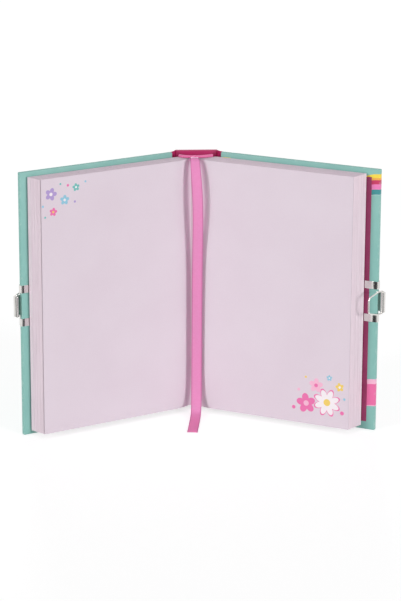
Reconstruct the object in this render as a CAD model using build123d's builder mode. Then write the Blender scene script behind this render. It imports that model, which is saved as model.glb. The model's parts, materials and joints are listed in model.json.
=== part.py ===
"""Hard-cover diary with lock rings, standing open in a V, in millimetres.

The spine stands at the back and the pages face -Y. The origin is the middle of
the spine's foot, on the surface that the diary stands on, and +Z is up.
"""

import os
from math import atan2, cos, degrees, radians, sin, tan

from build123d import *

os.makedirs("parts", exist_ok=True)

# Sides of the open diary, as the sign of X
FRONT = -1
BACK = 1
SIDE_NAMES = {FRONT: "front", BACK: "back"}

# Case: boards, covering paper and the grooves that the covers fold at
cover_height = 180.0
board_thickness = 2.5
board_width = 114.0
spine_setback = 1.6
paper = 0.3
turn_in = 5.6
joint_gap = 2.0
hinge_setback = 5.0
cover_opening = 62.0
joint_cloth = 0.5
joint_dip = 0.9
joint_clearance = 0.3

# Text block: the leaves left and right of the opening
page_square = 3.0
page_setback = 0.8
leaf_fan = 3.8
leaf_knee = 14.0
front_stack = 11.5
back_stack = 13.5
front_slip = 3.0
signature_count = {FRONT: 4, BACK: 5}
signature_gap = 0.1
open_leaf_thickness = 0.3
open_leaf_gap = 0.15
flyleaf_thickness = 0.25
cover_gap = 1.1
closed_page_gap = 0.4
gutter_dive = 3.3
gutter_gap = 0.25
spine_clearance = 5.0
closed_back_clearance = 0.6

# Spine lining and the head and tail bands that follow the arched back of the leaves
lining_thickness = 0.5
lining_clearance = 0.25
lining_short = 2.0
band_depth = 1.8
band_height = 1.9
band_lift = 0.1

# Ribbon marker
ribbon_width = 7.0
ribbon_thickness = 0.4
ribbon_route = [
    (-12.7, 177.7),
    (-16.6, 178.6),
    (-20.0, 174.0),
    (-21.0, 140.0),
    (-20.6, 67.0),
    (-21.0, 17.0),
    (-24.2, 3.0),
    (-35.0, 0.45),
    (-61.0, 0.3),
]

# Lock fittings on the two fore-edges
clip_sheet = 0.5
clip_height = 28.0
clip_plate_reach = 13.0
clip_tab_reach = 9.0
clip_bend = 0.8
tab_start = 8.75
slot_depth = 2.0
tongue_half_height = 6.9
barrel_radius = 1.75
barrel_reach = 3.2
wire_radius = 0.55
wire_clearance = 0.06
ring_half_leg = 7.6
ring_half_belly = 7.9
ring_belly_reach = 4.5
ring_half_bow = 5.3
ring_reach = 14.0
ring_leg_bend = 1.2
ring_belly_bend = 5.0
ring_bow_bend = 2.6
ring_turn = {FRONT: 235.0, BACK: -20.0}

# Values worked out from the sizes above
half_cover = board_thickness / 2 + paper
stack_thickness = {FRONT: front_stack, BACK: back_stack}
hinge_x = (front_stack + back_stack + closed_page_gap) / 2 + cover_gap + half_cover
spine_width = 2 * (hinge_x - spine_setback)
gutter_x = (front_stack - back_stack) / 2
page_foot = page_square
page_head = cover_height - page_square
page_height = page_head - page_foot
page_reach = board_width - page_setback
fore_edge = joint_gap + board_width + paper
mid_height = cover_height / 2


def along(side, opening):
    """Direction from the spine to a fore-edge, seen from above."""
    return Vector(side * sin(radians(opening)), -cos(radians(opening)))


def inward(side, opening):
    """Direction that the inner face of a cover or page looks in."""
    return Vector(-side * cos(radians(opening)), -sin(radians(opening)))


def finish(piece, name):
    """Labels a finished piece and writes its STEP file."""
    piece.part.label = name
    export_step(piece.part, f"parts/{name}.step")


def slab(plane, x, y, z, mode=Mode.ADD):
    """A box between pairs of X, Y and Z values of a plane."""
    with BuildSketch(plane.offset(z[0])) as base:
        with Locations(((x[0] + x[1]) / 2, (y[0] + y[1]) / 2)):
            Rectangle(abs(x[1] - x[0]), abs(y[1] - y[0]))
    extrude(base.sketch, amount=z[1] - z[0], mode=mode)


class Stack:
    """Plan of the leaves on one side of the opening."""

    def __init__(self, side):
        self.side = side
        self.thickness = stack_thickness[side]
        self.out = along(side, cover_opening)
        self.face = inward(side, cover_opening)
        self.hinge = Vector(side * hinge_x, -hinge_setback)
        depth = self.thickness + cover_gap + half_cover
        rise = (depth - self.face.X * (gutter_x - self.hinge.X)) / self.face.Y
        slip = front_slip if side == FRONT else 0
        self.crossing = Vector(gutter_x, self.hinge.Y + rise) + self.out * slip

    def shape_back(self, gutter_y):
        """Sets the arched back edge from the gutter to the last leaf."""
        self.gutter = Vector(self.crossing.X, gutter_y)
        back_y = -half_cover - spine_clearance
        corner = self.crossing - self.face * self.thickness
        self.back_reach = (corner.Y - back_y) / -self.out.Y
        corner = corner + self.out * self.back_reach
        across = abs(corner.X - self.gutter.X)
        behind = corner.Y - gutter_y
        self.arch_radius = (across**2 + behind**2) / (2 * behind)
        self.arch_angle = degrees(atan2(across, self.arch_radius - behind))
        self.arch_centre = self.gutter + Vector(0, self.arch_radius)

    def root(self, share):
        """Where a leaf meets the arch: share 0 is next to the cover, 1 is the open page."""
        turn = radians(self.arch_angle * (1 - share))
        outward = Vector(self.side * sin(turn), -cos(turn))
        return self.arch_centre + outward * self.arch_radius + Vector(self.side * gutter_gap * share, 0)

    def on_leaf(self, share, reach):
        """A point on the straight part of a leaf, at a reach from the opening's crossing."""
        return self.crossing - self.face * (self.thickness * (1 - share)) + self.out * reach

    def fore(self, share):
        """The fore-edge of a leaf, which fans out towards the cover."""
        return self.on_leaf(share, page_reach + leaf_fan * (1 - share))

    def leaf(self, share):
        """Draws a leaf's line from its fore-edge round the knee to its root."""
        knee = self.on_leaf(share, leaf_knee)
        Line(self.fore(share), knee)
        if share > 0:
            TangentArc(knee, self.root(share), tangent=-self.out)
        else:
            Line(knee, self.root(share))

    def bundle(self, low, high):
        """A closed bundle of leaves between two shares of the stack."""
        with BuildPart() as leaves:
            with BuildSketch(Plane.XY.offset(page_foot)):
                with BuildLine():
                    self.leaf(low)
                    self.leaf(high)
                    Line(self.root(low), self.root(high))
                    Line(self.fore(low), self.fore(high))
                make_face()
            extrude(amount=page_height)
        return leaves

    def flyleaf(self):
        """The free endpaper behind the stack."""
        low = self.thickness + signature_gap
        high = low + flyleaf_thickness
        ends = (self.back_reach, page_reach + leaf_fan)
        corners = [
            self.crossing - self.face * depth + self.out * reach
            for depth, reach in ((low, ends[0]), (low, ends[1]), (high, ends[1]), (high, ends[0]))
        ]
        with BuildPart() as leaf:
            with BuildSketch(Plane.XY.offset(page_foot)):
                with BuildLine():
                    Polyline(*corners, close=True)
                make_face()
            extrude(amount=page_height)
        return leaf

    def closing_slide(self):
        """How far the leaves slide out along their cover while it closes."""
        open_reach = (self.gutter - self.hinge).dot(self.out)
        closed_reach = half_cover + closed_back_clearance - hinge_setback
        return closed_reach - open_reach


stacks = {side: Stack(side) for side in (FRONT, BACK)}
gutter_y = max(stack.crossing.Y for stack in stacks.values()) + gutter_dive
for stack in stacks.values():
    stack.shape_back(gutter_y)


# Spine board and the paper that wraps it
spine_x = (-spine_width / 2, spine_width / 2)
board_y = (-board_thickness / 2, board_thickness / 2)
wrap_y = (-half_cover, half_cover)
board_z = (paper, cover_height - paper)
cover_z = (0, cover_height)

with BuildPart() as spine_board:
    slab(Plane.XY, spine_x, board_y, board_z)
finish(spine_board, "spine_board")

with BuildPart() as spine_wrap:
    slab(Plane.XY, spine_x, wrap_y, cover_z)
    slab(Plane.XY, spine_x, board_y, board_z, Mode.SUBTRACT)
finish(spine_wrap, "spine_wrap")


# Covers: board, printed wrap with its turn-ins, and the pasted endpaper
board_x = (joint_gap, joint_gap + board_width)
paste_x = (joint_gap, joint_gap + board_width - turn_in)
paste_z = (turn_in, cover_height - turn_in)
cover_planes = {
    side: Plane(
        origin=(side * hinge_x, -hinge_setback, 0),
        x_dir=along(side, cover_opening),
        z_dir=(0, 0, 1),
    )
    for side in (FRONT, BACK)
}

for side, plane in cover_planes.items():
    name = SIDE_NAMES[side]
    inner_y = (-side * board_thickness / 2, -side * half_cover)

    with BuildPart() as board:
        slab(plane, board_x, board_y, board_z)
    finish(board, f"{name}_board")

    with BuildPart() as wrap:
        slab(plane, (joint_gap, fore_edge), wrap_y, cover_z)
        slab(plane, board_x, board_y, board_z, Mode.SUBTRACT)
        slab(plane, paste_x, inner_y, paste_z, Mode.SUBTRACT)
    finish(wrap, f"{name}_wrap")

    with BuildPart() as pastedown:
        slab(plane, paste_x, inner_y, paste_z)
    finish(pastedown, f"{name}_pastedown")

    # The cloth joint that folds between the spine and this cover
    start = Vector(side * (spine_width / 2 + joint_clearance), half_cover / 2)
    end = plane.from_local_coords(Vector(joint_gap - joint_clearance, side * half_cover / 2))
    dip = (start + end) / 2 + inward(side, cover_opening) * joint_dip
    with BuildPart() as joint:
        with BuildSketch():
            with BuildLine():
                ThreePointArc(start, dip, Vector(end.X, end.Y))
            trace(line_width=joint_cloth)
        extrude(amount=cover_height)
    finish(joint, f"{name}_joint_cloth")


# Leaves: a free endpaper, sewn signatures and the open leaf on each side
signature_number = 0
for side, stack in stacks.items():
    name = SIDE_NAMES[side]
    finish(stack.flyleaf(), f"{name}_flyleaf")
    gap = signature_gap / stack.thickness
    top = 1 - (open_leaf_thickness + open_leaf_gap) / stack.thickness
    share = top / signature_count[side]
    order = range(signature_count[side])
    for place in order if side == FRONT else reversed(order):
        signature_number += 1
        low = place * share
        bundle = stack.bundle(low, low + share - gap)
        finish(bundle, f"signature_{signature_number}")
    open_leaf = stack.bundle(1 - open_leaf_thickness / stack.thickness, 1)
    finish(open_leaf, f"{name}_open_leaf")


def arched_strip(inner, outer):
    """Draws a strip along the arched back, between two offsets behind the leaves."""
    for side, stack in stacks.items():
        for offset in (inner, outer):
            radius = stack.arch_radius - offset
            CenterArc(stack.arch_centre, radius, -90, side * stack.arch_angle)
        turn = radians(stack.arch_angle)
        end = Vector(side * sin(turn), -cos(turn))
        near = stack.arch_centre + end * (stack.arch_radius - inner)
        far = stack.arch_centre + end * (stack.arch_radius - outer)
        Line(near, far)
    for offset in (inner, outer):
        behind = Vector(0, offset)
        Line(stacks[FRONT].gutter + behind, stacks[BACK].gutter + behind)


# Mull lining glued to the back of the leaves, and the bands at head and tail
lining_back = lining_clearance + lining_thickness
with BuildPart() as lining:
    with BuildSketch(Plane.XY.offset(page_foot + lining_short)):
        with BuildLine():
            arched_strip(lining_clearance, lining_back)
        make_face()
    extrude(amount=page_height - 2 * lining_short)
finish(lining, "spine_lining")

band_foot = {"head_band": page_head + band_lift, "tail_band": page_foot - band_lift - band_height}
for name, foot in band_foot.items():
    with BuildPart() as band:
        with BuildSketch(Plane.XY.offset(foot)):
            with BuildLine():
                arched_strip(lining_back - band_depth, lining_back)
            make_face()
        extrude(amount=band_height)
    finish(band, name)


def cord_radii(points):
    """The largest arc that each corner of a route has room for."""
    radii = []
    for a, b, c in zip(points, points[1:], points[2:]):
        first = Vector(b[0] - a[0], b[1] - a[1])
        second = Vector(c[0] - b[0], c[1] - b[1])
        turn = radians(first.get_angle(second))
        radii.append(0.45 * min(first.length, second.length) / tan(turn / 2))
    return radii


# Ribbon marker: out from under the head band, down the gutter and forward on the table
ribbon_x = (stacks[FRONT].gutter.X + stacks[BACK].gutter.X) / 2
ribbon_radii = cord_radii(ribbon_route)
print("ribbon radii", [round(radius, 1) for radius in ribbon_radii])
with BuildPart() as ribbon:
    with BuildSketch(Plane.YZ.offset(ribbon_x - ribbon_width / 2)):
        with BuildLine() as ribbon_path:
            FilletPolyline(*ribbon_route, radius=ribbon_radii)
        trace(line_width=ribbon_thickness)
    extrude(amount=ribbon_width)
finish(ribbon, "ribbon_marker")
print("ribbon length", round(ribbon_path.wires()[0].length, 1))


# Lock clips: a plate on the outer face, two tabs round the fore-edge and a rolled barrel
outer_skin = half_cover + clip_sheet
edge_skin = fore_edge + clip_sheet
barrel_x = fore_edge + barrel_reach
barrel_out = outer_skin - barrel_radius
clip_z = (mid_height - clip_height / 2, mid_height + clip_height / 2)
tongue_z = (mid_height - tongue_half_height, mid_height + tongue_half_height)
tab_height = clip_height / 2 - tab_start
tab_feet = (clip_z[0], clip_z[1] - tab_height)
slot_height = tab_start - tongue_half_height
slot_feet = (mid_height - tab_start, mid_height + tongue_half_height)


def ring_direction(side):
    """The way a ring points from its barrel, seen from above."""
    turn = radians(ring_turn[side])
    return inward(side, cover_opening) * cos(turn) + along(side, cover_opening) * sin(turn)


for side, plane in cover_planes.items():
    name = SIDE_NAMES[side]
    with BuildPart() as clip:
        plate_x = (fore_edge - clip_plate_reach, fore_edge)
        slab(plane, plate_x, (side * half_cover, side * outer_skin), clip_z)
        for foot in slot_feet:
            slot_x = (fore_edge - slot_depth, edge_skin)
            slot_y = (side * half_cover, side * outer_skin)
            slab(plane, slot_x, slot_y, (foot, foot + slot_height), Mode.SUBTRACT)
        for foot in tab_feet:
            with BuildSketch(plane.offset(foot)):
                with BuildLine():
                    Polyline(
                        (fore_edge - slot_depth, side * half_cover),
                        (fore_edge, side * half_cover),
                        (fore_edge, -side * half_cover),
                        (fore_edge - clip_tab_reach, -side * half_cover),
                        (fore_edge - clip_tab_reach, -side * outer_skin),
                        (edge_skin, -side * outer_skin),
                        (edge_skin, side * outer_skin),
                        (fore_edge - slot_depth, side * outer_skin),
                        close=True,
                    )
                tab = make_face()
                bends = tab.vertices().group_by(Axis.X)[-1]
                fillet(bends, clip_bend)
            extrude(amount=tab_height)
        slab(plane, (fore_edge, barrel_x), (side * half_cover, side * outer_skin), tongue_z)
        with BuildSketch(plane.offset(tongue_z[0])):
            with Locations((barrel_x, side * barrel_out)):
                Circle(barrel_radius)
        extrude(amount=2 * tongue_half_height)
        with BuildSketch(plane.offset(tongue_z[0])):
            with Locations((barrel_x, side * barrel_out)):
                Circle(wire_radius + wire_clearance)
        extrude(amount=2 * tongue_half_height, mode=Mode.SUBTRACT)
    finish(clip, f"{name}_lock_clip")

    # The wire ring is drawn as its upper half, from mid-leg to mid-bow, and mirrored
    pivot = plane.from_local_coords(Vector(barrel_x, side * barrel_out, mid_height))
    points = ring_direction(side)
    ring_plane = Plane(origin=pivot, x_dir=points, z_dir=points.cross(Vector(0, 0, 1)))
    half_ring = [
        (0, 0),
        (0, ring_half_leg),
        (ring_belly_reach, ring_half_belly),
        (ring_reach, ring_half_bow),
        (ring_reach, 0),
    ]
    with BuildPart() as ring:
        with BuildLine(ring_plane) as ring_path:
            FilletPolyline(*half_ring, radius=[ring_leg_bend, ring_belly_bend, ring_bow_bend])
        with BuildSketch(Plane(origin=pivot, z_dir=(0, 0, 1))):
            Circle(wire_radius)
        sweep(path=ring_path.wires()[0])
        mirror(about=Plane.XY.offset(mid_height))
    finish(ring, f"{name}_ring")
    print(name, "ring turns about", round(pivot.X, 3), round(pivot.Y, 3))

for side, stack in stacks.items():
    print(SIDE_NAMES[side], "cover turns about", round(stack.hinge.X, 3), round(stack.hinge.Y, 3))
    print(SIDE_NAMES[side], "leaves slide", round(stack.closing_slide(), 3), "mm while it closes")
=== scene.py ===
"""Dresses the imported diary: papers, leaves, ribbon marker, bands and plated lock fittings.

The diary stands open in a V. Its spine is at the back, its pages face -Y and +Z is up.
Lengths are in metres.
"""

import json
import logging
import math
import random
from collections.abc import Callable, Sequence
from dataclasses import dataclass, field, replace
from enum import Enum

import bpy
from mathutils import Matrix, Vector


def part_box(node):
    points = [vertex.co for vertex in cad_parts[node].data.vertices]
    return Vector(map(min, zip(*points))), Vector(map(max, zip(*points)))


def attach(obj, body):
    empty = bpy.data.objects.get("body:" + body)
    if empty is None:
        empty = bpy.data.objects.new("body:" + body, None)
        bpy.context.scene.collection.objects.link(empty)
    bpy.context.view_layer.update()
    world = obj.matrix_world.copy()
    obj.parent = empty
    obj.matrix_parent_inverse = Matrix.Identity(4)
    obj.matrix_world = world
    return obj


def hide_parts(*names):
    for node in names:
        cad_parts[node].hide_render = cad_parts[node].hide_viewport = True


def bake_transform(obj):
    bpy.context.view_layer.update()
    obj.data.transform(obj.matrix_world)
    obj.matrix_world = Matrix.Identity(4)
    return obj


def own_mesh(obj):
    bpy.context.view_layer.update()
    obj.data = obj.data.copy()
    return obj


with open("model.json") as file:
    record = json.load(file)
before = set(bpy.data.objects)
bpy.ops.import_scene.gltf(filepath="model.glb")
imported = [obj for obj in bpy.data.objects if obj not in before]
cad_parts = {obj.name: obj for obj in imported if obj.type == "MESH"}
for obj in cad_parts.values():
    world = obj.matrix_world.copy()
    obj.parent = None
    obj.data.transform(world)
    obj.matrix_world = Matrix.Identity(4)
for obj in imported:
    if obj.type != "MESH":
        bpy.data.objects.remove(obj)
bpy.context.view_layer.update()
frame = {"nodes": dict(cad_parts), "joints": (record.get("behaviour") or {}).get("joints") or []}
LOG = logging.getLogger("diary")
MM = 0.001
UP = Vector((0.0, 0.0, 1.0))
MERGE_DISTANCE = 0.002 * MM

Colour = tuple[float, float, float, float]


def ink(red: int, green: int, blue: int) -> Colour:
    """Turns a printed colour of 0 to 255 into the linear colour of a shader.

    Args:
        red: Red share of the printed colour.
        green: Green share of the printed colour.
        blue: Blue share of the printed colour.

    Returns:
        The linear colour with full alpha.
    """
    shares = (channel / 255 for channel in (red, green, blue))
    linear = [s / 12.92 if s <= 0.04045 else ((s + 0.055) / 1.055) ** 2.4 for s in shares]
    return (linear[0], linear[1], linear[2], 1.0)


class Side(Enum):
    """The two halves of the open diary, as the sign of X."""

    FRONT = -1
    BACK = 1

    @property
    def word(self) -> str:
        """The side's name as the CAD nodes have it."""
        return self.name.lower()


class Value:
    """A socket of a material that takes part in Python expressions."""

    def __init__(self, graph: "Graph", socket: bpy.types.NodeSocket) -> None:
        """Keeps the socket and the graph that its new nodes go to."""
        self.graph = graph
        self.socket = socket

    def __add__(self, other: "Number") -> "Value":
        """The sum of two values."""
        return self.graph.maths("ADD", self, other)

    __radd__ = __add__

    def __sub__(self, other: "Number") -> "Value":
        """This value less another."""
        return self.graph.maths("SUBTRACT", self, other)

    def __rsub__(self, other: "Number") -> "Value":
        """Another value less this one."""
        return self.graph.maths("SUBTRACT", other, self)

    def __mul__(self, other: "Number") -> "Value":
        """The product of two values."""
        return self.graph.maths("MULTIPLY", self, other)

    __rmul__ = __mul__

    def __truediv__(self, other: "Number") -> "Value":
        """This value over another."""
        return self.graph.maths("DIVIDE", self, other)

    def __abs__(self) -> "Value":
        """The value without its sign."""
        return self.graph.maths("ABSOLUTE", self)

    def wave(self) -> "Value":
        """The sine of the value, in radians."""
        return self.graph.maths("SINE", self)

    def root(self) -> "Value":
        """The square root of the value."""
        return self.graph.maths("SQRT", self)

    def most(self, other: "Number") -> "Value":
        """The larger of two values."""
        return self.graph.maths("MAXIMUM", self, other)

    def within(self, period: float) -> "Value":
        """The value's place in a repeat, from the middle of the repeat."""
        return self.graph.maths("FLOORED_MODULO", self, period) - period / 2

    def rise(self, low: float, high: float) -> "Value":
        """Goes smoothly from 0 at low to 1 at high.

        Args:
            low: Value at which the rise starts.
            high: Value at which the rise ends.

        Returns:
            The share of the rise, from 0 to 1.
        """
        settings = {"interpolation_type": "SMOOTHSTEP"}
        inputs = {"Value": self, "From Min": low, "From Max": high}
        return self.graph.value("ShaderNodeMapRange", settings, inputs)

    def between(self, low: float, high: float, soft: float) -> "Value":
        """1 between low and high, with a soft step inside each end, and 0 elsewhere."""
        return self.rise(low, low + soft) * (1 - self.rise(high - soft, high))

    def ripple(self, pitch: float, phase: float = 0.0) -> "Value":
        """A sine along the value with one repeat in each pitch."""
        return (self * (2 * math.pi / pitch) + phase).wave()


Number = float | Value
Chart = tuple[Value, Value]


@dataclass(frozen=True)
class Blossom:
    """A plain flower of a page print: its middle and size on the page, and its colours."""

    across: float
    up: float
    radius: float
    petal: Colour
    heart: Colour
    petals: int = 5
    turn: float = 0.0
    waist: float = 0.58
    heart_share: float = 0.27


@dataclass(frozen=True)
class Speck:
    """A round dot of a page print."""

    across: float
    up: float
    radius: float
    colour: Colour


class Graph:
    """The node graph of one finish."""

    def __init__(self, name: str) -> None:
        """Starts a material with its Principled shader."""
        self.material = bpy.data.materials.new(name)
        self.open(self.material, "Principled BSDF")

    def open(self, owner: bpy.types.Material | bpy.types.World, shader: str) -> None:
        """Takes up the node tree of a material or a world.

        Args:
            owner: The material or the world.
            shader: Name of the shader node that it starts with.
        """
        owner.use_nodes = True
        self.tree = owner.node_tree
        self.shader = self.tree.nodes[shader]

    def node(self, kind: str, settings: dict, inputs: dict) -> bpy.types.Node:
        """Adds a node.

        Args:
            kind: Blender's name of the node type.
            settings: Properties of the node, with a ramp's (place, colour) pairs under "stops".
            inputs: Values or links of its sockets, by name or number.

        Returns:
            The new node.
        """
        made = self.tree.nodes.new(kind)
        for name, setting in settings.items():
            if name == "stops":
                ramp = made.color_ramp
                ramp.interpolation = "CONSTANT"
                while len(ramp.elements) < len(setting):
                    ramp.elements.new(1.0)
                for stop, (place, colour) in zip(ramp.elements, setting):
                    stop.position = place
                    stop.color = colour
            else:
                setattr(made, name, setting)
        for key, value in inputs.items():
            self.plug(made.inputs[key], value)
        return made

    def plug(self, socket: bpy.types.NodeSocket, value: object) -> None:
        """Links a value to a socket, or sets the socket to a plain number or colour."""
        if isinstance(value, Value):
            self.tree.links.new(value.socket, socket)
        else:
            socket.default_value = value

    def feed(self, **inputs: object) -> None:
        """Sets sockets of the Principled shader, with underscores for the spaces in their names."""
        for name, value in inputs.items():
            self.plug(self.shader.inputs[name.replace("_", " ")], value)

    def value(self, kind: str, settings: dict, inputs: dict, output: int | str = 0) -> Value:
        """Adds a node, as node() does, and gives one of its outputs."""
        return Value(self, self.node(kind, settings, inputs).outputs[output])

    def maths(self, operation: str, *values: Number) -> Value:
        """Adds a Math node for an operation on values and numbers."""
        return self.value("ShaderNodeMath", {"operation": operation}, dict(enumerate(values)))

    def mix(self, share: Number, low: object, high: object) -> Value:
        """Mixes two colours by a share from 0 to 1."""
        inputs = {0: share, 6: low, 7: high}
        return self.value("ShaderNodeMix", {"data_type": "RGBA"}, inputs, 2)

    def place(self) -> Value:
        """The object's own coordinates."""
        return self.value("ShaderNodeTexCoord", {}, {}, "Object")

    def parts(self, place: Value) -> list[Value]:
        """The three parts of a set of coordinates."""
        split = self.node("ShaderNodeSeparateXYZ", {}, {"Vector": place})
        return [Value(self, output) for output in split.outputs]

    def axes(self) -> list[Value]:
        """The object's own coordinates along X, Y and Z."""
        return self.parts(self.place())

    def stretched(self, scale: Sequence[float]) -> Value:
        """The object's own coordinates with a scale for each axis."""
        return self.value("ShaderNodeMapping", {}, {"Vector": self.place(), "Scale": scale})

    def surface(self) -> Chart:
        """The two coordinates of the piece's own UV map, in metres."""
        across, up, _ = self.parts(self.value("ShaderNodeUVMap", {"uv_map": "UVMap"}, {}, "UV"))
        return across, up

    def noise(self, place: Value, scale: float, detail: float = 3.0) -> Value:
        """Soft noise from 0 to 1, with a scale in repeats per metre."""
        inputs = {"Vector": place, "Scale": scale, "Detail": detail}
        return self.value("ShaderNodeTexNoise", {}, inputs)

    def ramp(self, value: Value, stops: Sequence[tuple[float, Colour]]) -> Value:
        """Bands of plain colour along a value from 0 to 1."""
        return self.value("ShaderNodeValToRGB", {"stops": stops}, {"Fac": value})

    def relief(self, height: Value, distance: float, strength: float = 1.0) -> None:
        """Feeds a Bump node into the shader's Normal.

        Args:
            height: Height of the relief, from 0 to 1.
            distance: Depth of the relief in metres.
            strength: Share of the relief that shows.
        """
        inputs = {"Height": height, "Distance": distance, "Strength": strength}
        self.feed(Normal=self.value("ShaderNodeBump", {}, inputs))

    def distance(self, chart: Chart, across: float, up: float) -> tuple[Value, Value, Value]:
        """The steps and the distance from a point of the surface.

        Args:
            chart: The surface's two coordinates.
            across: First coordinate of the point.
            up: Second coordinate of the point.

        Returns:
            The step across, the step up and the distance.
        """
        step_across = chart[0] - across
        step_up = chart[1] - up
        return step_across, step_up, (step_across * step_across + step_up * step_up).root()

    def speck(self, ground: object, chart: Chart, dot: Speck, soft: float) -> Value:
        """Prints a dot on a ground colour and returns the new colour."""
        reach = self.distance(chart, dot.across, dot.up)[2]
        return self.mix(1 - reach.rise(dot.radius - soft, dot.radius + soft), ground, dot.colour)

    def blossom(self, ground: object, chart: Chart, flower: Blossom, soft: float) -> Value:
        """Prints a flower on a ground colour.

        Args:
            ground: Colour under the flower.
            chart: The surface's two coordinates.
            flower: The flower's place, size and colours.
            soft: Half the width of the print's soft edge.

        Returns:
            The colour with the flower on it.
        """
        step_across, step_up, reach = self.distance(chart, flower.across, flower.up)
        angle = self.maths("ARCTAN2", step_up, step_across)
        lobe = abs((angle * (flower.petals / 2) + flower.turn).wave())
        outline = reach - lobe * (flower.radius * (1 - flower.waist))
        base = flower.radius * flower.waist
        inked = self.mix(1 - outline.rise(base - soft, base + soft), ground, flower.petal)
        heart = flower.radius * flower.heart_share
        return self.mix(1 - reach.rise(heart - soft, heart + soft), inked, flower.heart)


class SkyGraph(Graph):
    """The node graph of the world."""

    def __init__(self, name: str) -> None:
        """Starts a world with its Background shader and makes it the scene's."""
        world = bpy.data.worlds.new(name)
        bpy.context.scene.world = world
        self.open(world, "Background")


MADE: dict[str, bpy.types.Material] = {}


@dataclass(frozen=True)
class Finish:
    """A finish, whose material is made once for all pieces that share it."""

    name: str

    def material(self) -> bpy.types.Material:
        """The finish's material, painted when it is first asked for."""
        if self.name not in MADE:
            graph = Graph(self.name)
            self.paint(graph)
            MADE[self.name] = graph.material
        return MADE[self.name]

    def paint(self, graph: Graph) -> None:
        """Adds the nodes of the finish to its graph."""
        raise NotImplementedError


class CoverPrint(Enum):
    """What the covering paper of a cover is printed with."""

    DOTS = "small tone-on-tone dots"
    STRIPES = "wavy stripes near the head and a pink wave near the tail"


COVER_STRIPES = (
    (163.0 * MM, ink(62, 146, 150)),
    (166.5 * MM, ink(240, 128, 188)),
    (169.9 * MM, ink(204, 52, 98)),
    (172.5 * MM, ink(245, 178, 78)),
    (174.3 * MM, ink(250, 222, 74)),
)
COVER_STRIPES_END = 176.9 * MM
COVER_WAVES = (
    (14.8 * MM, 34.0 * MM, ink(248, 188, 214)),
    (15.4 * MM, 30.6 * MM, ink(238, 112, 168)),
)


@dataclass(frozen=True)
class CoverPaper(Finish):
    """Laminated covering paper in teal with a generic print."""

    design: CoverPrint
    fore_edge: float
    height: float
    ground: Colour = ink(141, 194, 185)
    shade: Colour = ink(135, 189, 181)
    scuffed: Colour = ink(226, 238, 234)
    mottle_scale: float = 60.0
    scuff_scale: float = 420.0
    grain_scale: float = 2600.0
    grain_depth: float = 0.03 * MM
    wear: float = 0.22
    fold_width: float = 1.2 * MM
    edge_width: float = 0.9 * MM
    dot: Colour = ink(180, 221, 213)
    dot_pitch: float = 11 * MM
    dot_radius: float = 1.4 * MM
    dot_soft: float = 0.08 * MM
    dot_margin: float = 11 * MM
    margin_soft: float = 0.1 * MM
    sway_length: float = 110 * MM
    sway_height: float = 13 * MM
    stripe_soft: float = 1e-5
    wave_length: float = 46 * MM
    wave_height: float = 2.2 * MM
    wave_soft: float = 0.2 * MM

    def paint(self, graph: Graph) -> None:
        """Adds the mottled ground, the print, the worn folds and the fine grain."""
        chart = graph.surface()
        mottle = graph.noise(graph.place(), self.mottle_scale)
        colour = graph.mix(mottle.rise(0.35, 0.7), self.ground, self.shade)
        if self.design is CoverPrint.STRIPES:
            colour = self.stripes(graph, chart, colour)
        else:
            colour = self.dots(graph, chart, colour)
        rim = self.rim(chart)
        scuff = graph.noise(graph.place(), self.scuff_scale, 5.0)
        worn = rim * scuff.rise(0.5, 0.72) * self.wear
        graph.feed(Base_Color=graph.mix(worn, colour, self.scuffed))
        grain = graph.noise(graph.place(), self.grain_scale, 2.0)
        graph.feed(Roughness=0.36 + grain * 0.1 + rim * 0.06, Specular_IOR_Level=0.35)
        graph.feed(Coat_Weight=0.12, Coat_Roughness=0.22)
        graph.relief(grain, self.grain_depth, 0.5)

    def rim(self, chart: Chart) -> Value:
        """A mask of the folded edges at the fore-edge, head and tail."""
        fold = chart[0].rise(self.fore_edge - self.fold_width, self.fore_edge)
        head = chart[1].rise(self.height - self.edge_width, self.height)
        tail = 1 - chart[1].rise(0.0, self.edge_width)
        return fold.most(head).most(tail)

    def stripes(self, graph: Graph, chart: Chart, ground: Value) -> Value:
        """Prints stripes that sway away from the fore-edge, and a pink wave below."""
        inset = self.fore_edge - chart[0]
        sway = 1 - inset.ripple(self.sway_length, math.pi / 2)
        share = (chart[1] + sway * self.sway_height) / self.height
        clear = (1.0, 1.0, 1.0, 1.0)
        stops = [(place / self.height, tint) for place, tint in COVER_STRIPES]
        end = COVER_STRIPES_END / self.height
        bands = graph.ramp(share, [(0.0, clear), *stops, (end, clear)])
        printed = share.between(stops[0][0] - self.stripe_soft, end, self.stripe_soft)
        colour = graph.mix(printed, ground, bands)
        roll = chart[1] - inset.ripple(self.wave_length, math.pi / 2) * self.wave_height
        for low, high, tint in COVER_WAVES:
            colour = graph.mix(roll.between(low, high, self.wave_soft), colour, tint)
        return colour

    def dots(self, graph: Graph, chart: Chart, ground: Value) -> Value:
        """Prints small dots that keep clear of the edges."""
        across, up = (part.within(self.dot_pitch) for part in chart)
        reach = (across * across + up * up).root()
        spot = 1 - reach.rise(self.dot_radius - self.dot_soft, self.dot_radius + self.dot_soft)
        inset = (self.fore_edge - chart[0]).rise(self.dot_margin, self.dot_margin + self.margin_soft)
        middle = chart[1].between(self.dot_margin, self.height - self.dot_margin, self.margin_soft)
        return graph.mix(spot * inset * middle, ground, self.dot)


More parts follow.
